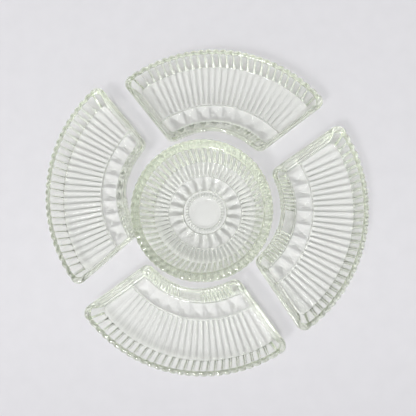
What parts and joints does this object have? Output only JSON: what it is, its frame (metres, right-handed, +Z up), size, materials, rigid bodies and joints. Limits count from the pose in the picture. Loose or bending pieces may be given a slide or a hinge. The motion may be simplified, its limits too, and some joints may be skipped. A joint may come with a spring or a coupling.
{
  "type": "relish dish set",
  "caption": "Pressed-glass relish set: a round ribbed bowl ringed by loose fan-shaped dishes with scalloped rims, for serving condiments and snacks.",
  "frame": {"origin": "middle of the set's outline, on the table that it stands on", "axes": "+Z up from the table, +Y towards the north dish, +X towards the east dish"},
  "size_m": [0.3187, 0.321, 0.04],
  "materials": {
    "clear_glass": "fire-polished, faint green cast"
  },
  "bodies": {
    "bowl": {"centre_bowl": "clear_glass"},
    "north_dish": {"fan_dish_north": "clear_glass"},
    "west_dish": {"fan_dish_west": "clear_glass"},
    "south_dish": {"fan_dish_south": "clear_glass"},
    "east_dish": {"fan_dish_east": "clear_glass"}
  },
  "joints": [
    {"name": "lift_north", "type": "slide", "parent": "bowl", "child": "north_dish", "axis": [0, 0, 1], "range_m": [0, 0.06]},
    {"name": "lift_west", "type": "slide", "parent": "bowl", "child": "west_dish", "axis": [0, 0, 1], "range_m": [0, 0.06]},
    {"name": "lift_south", "type": "slide", "parent": "bowl", "child": "south_dish", "axis": [0, 0, 1], "range_m": [0, 0.06]},
    {"name": "lift_east", "type": "slide", "parent": "bowl", "child": "east_dish", "axis": [0, 0, 1], "range_m": [0, 0.06]}
  ]
}
